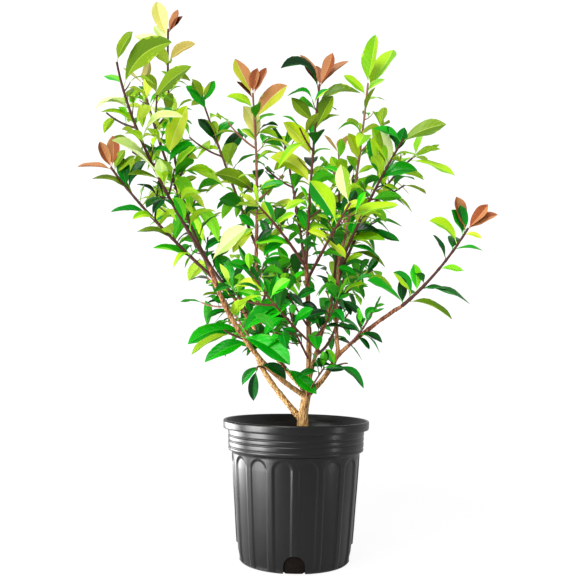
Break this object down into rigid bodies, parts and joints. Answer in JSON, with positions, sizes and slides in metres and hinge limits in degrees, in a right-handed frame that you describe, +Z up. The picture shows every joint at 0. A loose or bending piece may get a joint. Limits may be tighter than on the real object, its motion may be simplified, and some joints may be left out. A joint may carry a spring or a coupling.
{
  "type": "potted red tip photinia",
  "caption": "Multi-stemmed evergreen shrub with glossy green leaves and copper-red young tips, standing in a round black fluted nursery pot with drain holes.",
  "frame": {"origin": "middle of the flat underside of the pot", "axes": "+Z up along the pot's axis and the plant's height, front of the plant towards -Y, +X to the right seen from the front"},
  "size_m": [0.7618, 0.5675, 1.0991],
  "materials": {
    "pot_plastic": "satin black moulded polyethylene",
    "potting_mix": "dull, crumbly bark and peat mix",
    "bark": "dull tan to red-brown young bark",
    "foliage": "glossy evergreen leaf"
  },
  "bodies": {
    "root": {"bough_centre": "bark", "bough_centre_back": "bark", "bough_front_left": "bark", "bough_inner_rise": "bark", "bough_left_back": "bark", "bough_left_inner": "bark", "bough_right": "bark", "bough_right_long": "bark", "bough_right_rise": "bark", "pot": "pot_plastic", "shoot_back_rise": "foliage", "shoot_centre": "foliage", "shoot_centre_back": "foliage", "shoot_front": "foliage", "shoot_front_left": "foliage", "shoot_inner_front": "foliage", "shoot_inner_left": "foliage", "shoot_left": "foliage", "shoot_left_back": "foliage", "shoot_low_front": "foliage", "shoot_low_left": "foliage", "shoot_low_middle": "foliage", "shoot_outer_left": "foliage", "shoot_outer_right": "foliage", "shoot_rear_left": "foliage", "shoot_rear_right": "foliage", "shoot_right_back": "foliage", "shoot_right_front": "foliage", "shoot_right_inner": "foliage", "shoot_tallest": "foliage", "soil": "potting_mix", "spray_fork": "foliage", "spray_fork_left": "foliage", "spray_left_low": "foliage", "spray_low_left": "foliage", "spray_mid_back": "foliage", "spray_mid_centre": "foliage", "spray_mid_left": "foliage", "spray_mid_right": "foliage", "spray_right_back": "foliage", "spray_right_fork": "foliage", "spray_right_low": "foliage", "trunk": "bark"}
  },
  "joints": []
}
